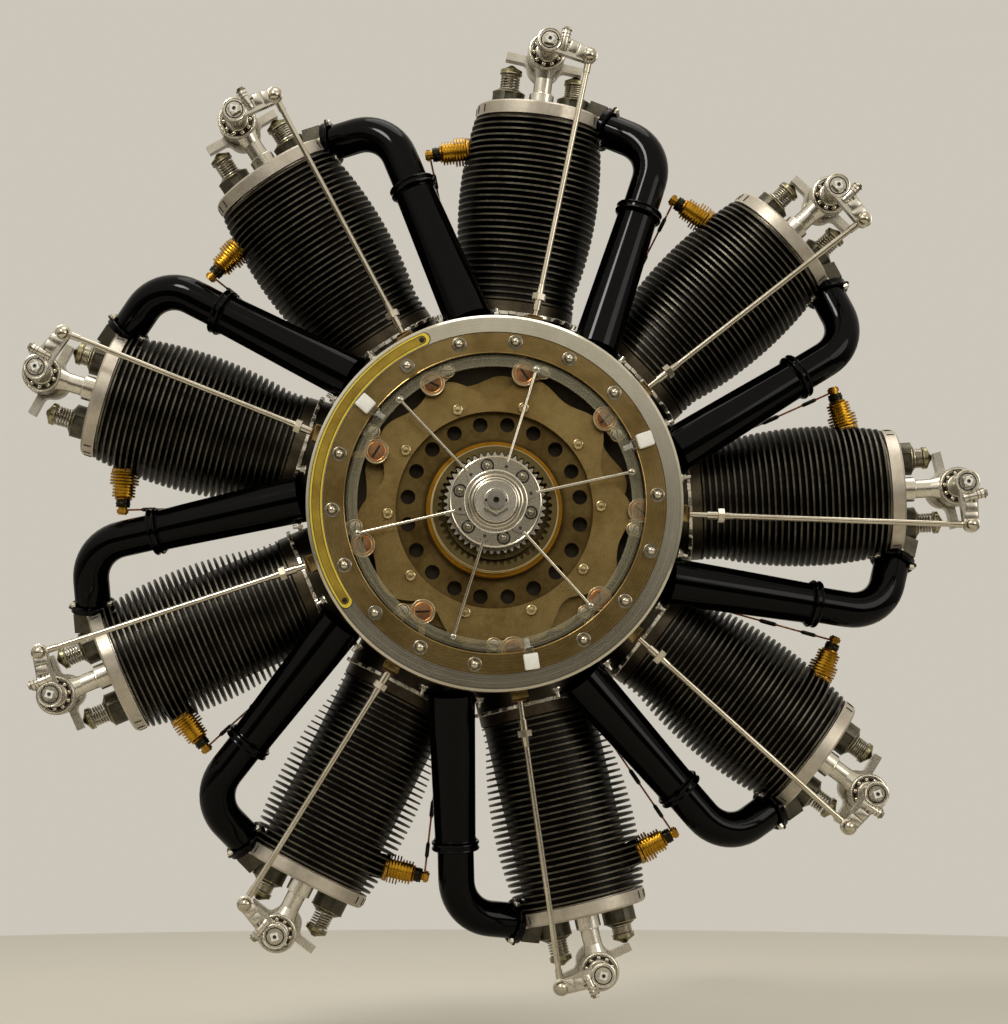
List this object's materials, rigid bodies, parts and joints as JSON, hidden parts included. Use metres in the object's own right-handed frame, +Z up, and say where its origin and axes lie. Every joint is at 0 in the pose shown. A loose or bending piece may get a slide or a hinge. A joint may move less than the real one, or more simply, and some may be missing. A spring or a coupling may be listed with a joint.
{
  "type": "rotary aircraft engine",
  "caption": "Rotary aircraft engine: a star of finned cylinders turns with its crankcase round a fixed shaft, with open rocker gear, curved inlet pipes and cams behind a clear cover.",
  "frame": {"origin": "centre of the bearer plate's bolt circle, in the plate's rear face on the crankshaft's axis", "axes": "+Z up, +X right seen from the front, the front looks along -Y and +Y runs back along the shaft"},
  "size_m": [0.9837, 0.682, 0.989],
  "materials": {
    "shaft_steel": "turned and ground steel",
    "bearer_paint": "black paint",
    "magneto_alloy": "cast alloy",
    "carb_bronze": "cast bronze",
    "hub_bronze": "machined bronze",
    "case_steel": "turned steel",
    "ring_alloy": "polished alloy",
    "clear_plastic": "clear polished",
    "clamp_brass": "dull olive patina",
    "bright_steel": "satin steel",
    "nickel": "nickel plate",
    "cam_steel": "hardened, brown patina",
    "cylinder_steel": "dark gunmetal fins, grey heads",
    "pipe_black": "gloss black",
    "plug_brass": "brass with dark insulator",
    "insulation": "moulded insulation",
    "wire_copper": "bare wire",
    "piston_alloy": "machined alloy",
    "tappet_copper": "copper-toned steel",
    "spring_steel": "oiled spring steel"
  },
  "bodies": {
    "mounting": {"crankshaft": "shaft_steel", "nose_nut": "bright_steel", "mount_plates": "bearer_paint", "magneto": "magneto_alloy", "carburettor": "carb_bronze"},
    "crankcase": {"crankcase_drum": "case_steel", "crankcase_front": "case_steel", "cam_case_ring": "ring_alloy", "clear_cover": "clear_plastic", "cover_clamp": "clamp_brass", "fasteners": "bright_steel", "hub_spider": "nickel", "drive_pinion": "bright_steel", "cylinders": "cylinder_steel", "rocker_posts": "bright_steel", "inlet_pipes": "pipe_black", "spark_plugs": "plug_brass", "distributor_ring": "insulation", "ignition_wires": "wire_copper", "valve_springs": "spring_steel"},
    "cams": {"cam_drum": "cam_steel", "front_cam": "cam_steel", "rear_cam": "cam_steel"},
    "rod_hub": {"thrust_block": "hub_bronze"},
    "rocker_1": {"rocker_1": "bright_steel"},
    "pushrod_1": {"pushrod_1": "nickel"},
    "tappet_1": {"tappet_1": "tappet_copper"},
    "piston_1": {"piston_1": "piston_alloy"},
    "rocker_2": {"rocker_2": "bright_steel"},
    "pushrod_2": {"pushrod_2": "nickel"},
    "tappet_2": {"tappet_2": "tappet_copper"},
    "piston_2": {"piston_2": "piston_alloy"},
    "rocker_3": {"rocker_3": "bright_steel"},
    "pushrod_3": {"pushrod_3": "nickel"},
    "tappet_3": {"tappet_3": "tappet_copper"},
    "piston_3": {"piston_3": "piston_alloy"},
    "rocker_4": {"rocker_4": "bright_steel"},
    "pushrod_4": {"pushrod_4": "nickel"},
    "tappet_4": {"tappet_4": "tappet_copper"},
    "piston_4": {"piston_4": "piston_alloy"},
    "rocker_5": {"rocker_5": "bright_steel"},
    "pushrod_5": {"pushrod_5": "nickel"},
    "tappet_5": {"tappet_5": "tappet_copper"},
    "piston_5": {"piston_5": "piston_alloy"},
    "rocker_6": {"rocker_6": "bright_steel"},
    "pushrod_6": {"pushrod_6": "nickel"},
    "tappet_6": {"tappet_6": "tappet_copper"},
    "piston_6": {"piston_6": "piston_alloy"},
    "rocker_7": {"rocker_7": "bright_steel"},
    "pushrod_7": {"pushrod_7": "nickel"},
    "tappet_7": {"tappet_7": "tappet_copper"},
    "piston_7": {"piston_7": "piston_alloy"},
    "rocker_8": {"rocker_8": "bright_steel"},
    "pushrod_8": {"pushrod_8": "nickel"},
    "tappet_8": {"tappet_8": "tappet_copper"},
    "piston_8": {"piston_8": "piston_alloy"},
    "rocker_9": {"rocker_9": "bright_steel"},
    "pushrod_9": {"pushrod_9": "nickel"},
    "tappet_9": {"tappet_9": "tappet_copper"},
    "piston_9": {"piston_9": "piston_alloy"}
  },
  "joints": [
    {"name": "crankcase_spin", "type": "hinge", "parent": "mounting", "child": "crankcase", "pos_m": [0, 0, 0], "axis": [0, 1, 0], "continuous": true},
    {"name": "cam_spin", "type": "hinge", "parent": "mounting", "child": "cams", "pos_m": [0, 0, -0.0055], "axis": [0, 1, 0], "continuous": true},
    {"name": "rod_hub_spin", "type": "hinge", "parent": "mounting", "child": "rod_hub", "pos_m": [0, 0, 0.085], "axis": [0, 1, 0], "continuous": true},
    {"name": "rocker_1_tilt", "type": "hinge", "parent": "crankcase", "child": "rocker_1", "pos_m": [0.05756, -0.245, 0.47916], "axis": [0, 1, 0], "range_deg": [-17.4, 6.6], "deforming": ["valve_springs"]},
    {"name": "pushrod_1_slide", "type": "slide", "parent": "crankcase", "child": "pushrod_1", "axis": [-0.2051, -0.0279, -0.9784], "range_m": [-0.01313, 0.00504]},
    {"name": "tappet_1_swing", "type": "hinge", "parent": "crankcase", "child": "tappet_1", "pos_m": [0.04926, -0.341, 0.13211], "axis": [0, 1, 0], "range_deg": [-14.38, 37.58]},
    {"name": "piston_1_slide", "type": "slide", "parent": "crankcase", "child": "piston_1", "axis": [0.1193, 0, 0.9929], "range_m": [-0.16921, 0.00079]},
    {"name": "rocker_2_tilt", "type": "hinge", "parent": "crankcase", "child": "rocker_2", "pos_m": [0.35209, -0.245, 0.33006], "axis": [0, 1, 0], "range_deg": [-8.7, 15.3], "deforming": ["valve_springs"]},
    {"name": "pushrod_2_slide", "type": "slide", "parent": "crankcase", "child": "pushrod_2", "axis": [-0.786, -0.0279, -0.6177], "range_m": [-0.00662, 0.01156]},
    {"name": "tappet_2_swing", "type": "hinge", "parent": "crankcase", "child": "tappet_2", "pos_m": [0.12266, -0.341, 0.06954], "axis": [0, 1, 0], "range_deg": [-33.07, 18.89]},
    {"name": "piston_2_slide", "type": "slide", "parent": "crankcase", "child": "piston_2", "axis": [0.7296, 0, 0.6839], "range_m": [-0.13605, 0.03395]},
    {"name": "rocker_3_tilt", "type": "hinge", "parent": "crankcase", "child": "rocker_3", "pos_m": [0.48187, -0.245, 0.02652], "axis": [0, 1, 0], "range_deg": [-0.9, 23.1], "deforming": ["valve_springs"]},
    {"name": "pushrod_3_slide", "type": "slide", "parent": "crankcase", "child": "pushrod_3", "axis": [-0.9991, -0.0279, 0.0321], "range_m": [-0.00077, 0.0174]},
    {"name": "tappet_3_swing", "type": "hinge", "parent": "crankcase", "child": "tappet_3", "pos_m": [0.13866, -0.341, -0.02557], "axis": [0, 1, 0], "range_deg": [-49.83, 2.13]},
    {"name": "piston_3_slide", "type": "slide", "parent": "crankcase", "child": "piston_3", "axis": [0.9985, 0, 0.055], "range_m": [-0.07625, 0.09375]},
    {"name": "rocker_4_tilt", "type": "hinge", "parent": "crankcase", "child": "rocker_4", "pos_m": [0.38618, -0.245, -0.28943], "axis": [0, 1, 0], "range_deg": [-6.8, 17.2], "deforming": ["valve_springs"]},
    {"name": "pushrod_4_slide", "type": "slide", "parent": "crankcase", "child": "pushrod_4", "axis": [-0.7447, -0.0279, 0.6668], "range_m": [-0.00519, 0.01298]},
    {"name": "tappet_4_swing", "type": "hinge", "parent": "crankcase", "child": "tappet_4", "pos_m": [0.08978, -0.341, -0.10872], "axis": [0, 1, 0], "range_deg": [-37.15, 14.81]},
    {"name": "piston_4_slide", "type": "slide", "parent": "crankcase", "child": "piston_4", "axis": [0.8002, 0, -0.5997], "range_m": [-0.02548, 0.14452]},
    {"name": "rocker_5_tilt", "type": "hinge", "parent": "crankcase", "child": "rocker_5", "pos_m": [0.10979, -0.245, -0.46995], "axis": [0, 1, 0], "range_deg": [-0.1, 23.9], "deforming": ["valve_springs"]},
    {"name": "pushrod_5_slide", "type": "slide", "parent": "crankcase", "child": "pushrod_5", "axis": [-0.1419, -0.0279, 0.9895], "range_m": [-0.00017, 0.018]},
    {"name": "tappet_5_swing", "type": "hinge", "parent": "crankcase", "child": "tappet_5", "pos_m": [-0.00111, -0.341, -0.141], "axis": [0, 1, 0], "range_deg": [-51.54, 0.41]},
    {"name": "piston_5_slide", "type": "slide", "parent": "crankcase", "child": "piston_5", "axis": [0.2275, 0, -0.9738], "range_m": [-0.00155, 0.16845]},
    {"name": "rocker_6_tilt", "type": "hinge", "parent": "crankcase", "child": "rocker_6", "pos_m": [-0.21797, -0.245, -0.43057], "axis": [0, 1, 0], "range_deg": [-23.1, 0.9], "deforming": ["valve_springs"]},
    {"name": "pushrod_6_slide", "type": "slide", "parent": "crankcase", "child": "pushrod_6", "axis": [0.5273, -0.0279, 0.8492], "range_m": [-0.0174, 0.00077]},
    {"name": "tappet_6_swing", "type": "hinge", "parent": "crankcase", "child": "tappet_6", "pos_m": [-0.09148, -0.341, -0.1073], "axis": [0, 1, 0], "range_deg": [-2.13, 49.83]},
    {"name": "piston_6_slide", "type": "slide", "parent": "crankcase", "child": "piston_6", "axis": [-0.4517, 0, -0.8922], "range_m": [-0.00647, 0.16353]},
    {"name": "rocker_7_tilt", "type": "hinge", "parent": "crankcase", "child": "rocker_7", "pos_m": [-0.44374, -0.245, -0.18973], "axis": [0, 1, 0], "range_deg": [-11.1, 12.9], "deforming": ["valve_springs"]},
    {"name": "pushrod_7_slide", "type": "slide", "parent": "crankcase", "child": "pushrod_7", "axis": [0.9498, -0.0279, 0.3116], "range_m": [-0.00841, 0.00976]},
    {"name": "tappet_7_swing", "type": "hinge", "parent": "crankcase", "child": "tappet_7", "pos_m": [-0.13905, -0.341, -0.02339], "axis": [0, 1, 0], "range_deg": [-27.91, 24.05]},
    {"name": "piston_7_slide", "type": "slide", "parent": "crankcase", "child": "piston_7", "axis": [-0.9195, 0, -0.3931], "range_m": [-0.04024, 0.12976]},
    {"name": "rocker_8_tilt", "type": "hinge", "parent": "crankcase", "child": "rocker_8", "pos_m": [-0.46188, -0.245, 0.13989], "axis": [0, 1, 0], "range_deg": [-23.9, 0.1], "deforming": ["valve_springs"]},
    {"name": "pushrod_8_slide", "type": "slide", "parent": "crankcase", "child": "pushrod_8", "axis": [0.9279, -0.0279, -0.3718], "range_m": [-0.018, 0.00017]},
    {"name": "tappet_8_swing", "type": "hinge", "parent": "crankcase", "child": "tappet_8", "pos_m": [-0.12155, -0.341, 0.07146], "axis": [0, 1, 0], "range_deg": [-0.41, 51.54]},
    {"name": "piston_8_slide", "type": "slide", "parent": "crankcase", "child": "piston_8", "axis": [-0.9571, 0, 0.2899], "range_m": [-0.09733, 0.07267]},
    {"name": "rocker_9_tilt", "type": "hinge", "parent": "crankcase", "child": "rocker_9", "pos_m": [-0.2639, -0.245, 0.40405], "axis": [0, 1, 0], "range_deg": [-15, 9], "deforming": ["valve_springs"]},
    {"name": "pushrod_9_slide", "type": "slide", "parent": "crankcase", "child": "pushrod_9", "axis": [0.4718, -0.0279, -0.8813], "range_m": [-0.01134, 0.00684]},
    {"name": "tappet_9_swing", "type": "hinge", "parent": "crankcase", "child": "tappet_9", "pos_m": [-0.04718, -0.341, 0.13287], "axis": [0, 1, 0], "range_deg": [-19.53, 32.42]},
    {"name": "piston_9_slide", "type": "slide", "parent": "crankcase", "child": "piston_9", "axis": [-0.5468, 0, 0.8372], "range_m": [-0.15221, 0.01779]}
  ],
  "couplings": [
    {"joint": "cam_spin", "follows": "crankcase_spin", "ratio": 0.9},
    {"joint": "rod_hub_spin", "follows": "crankcase_spin", "ratio": 1},
    {"joint": "pushrod_1_slide", "follows": "rocker_1_tilt", "m_per_rad": 0.042916},
    {"joint": "tappet_1_swing", "follows": "rocker_1_tilt", "ratio": -2.1483},
    {"joint": "pushrod_2_slide", "follows": "rocker_2_tilt", "m_per_rad": 0.042916},
    {"joint": "tappet_2_swing", "follows": "rocker_2_tilt", "ratio": -2.1483},
    {"joint": "pushrod_3_slide", "follows": "rocker_3_tilt", "m_per_rad": 0.042916},
    {"joint": "tappet_3_swing", "follows": "rocker_3_tilt", "ratio": -2.1483},
    {"joint": "pushrod_4_slide", "follows": "rocker_4_tilt", "m_per_rad": 0.042916},
    {"joint": "tappet_4_swing", "follows": "rocker_4_tilt", "ratio": -2.1483},
    {"joint": "pushrod_5_slide", "follows": "rocker_5_tilt", "m_per_rad": 0.042916},
    {"joint": "tappet_5_swing", "follows": "rocker_5_tilt", "ratio": -2.1483},
    {"joint": "pushrod_6_slide", "follows": "rocker_6_tilt", "m_per_rad": 0.042916},
    {"joint": "tappet_6_swing", "follows": "rocker_6_tilt", "ratio": -2.1483},
    {"joint": "pushrod_7_slide", "follows": "rocker_7_tilt", "m_per_rad": 0.042916},
    {"joint": "tappet_7_swing", "follows": "rocker_7_tilt", "ratio": -2.1483},
    {"joint": "pushrod_8_slide", "follows": "rocker_8_tilt", "m_per_rad": 0.042916},
    {"joint": "tappet_8_swing", "follows": "rocker_8_tilt", "ratio": -2.1483},
    {"joint": "pushrod_9_slide", "follows": "rocker_9_tilt", "m_per_rad": 0.042916},
    {"joint": "tappet_9_swing", "follows": "rocker_9_tilt", "ratio": -2.1483}
  ]
}
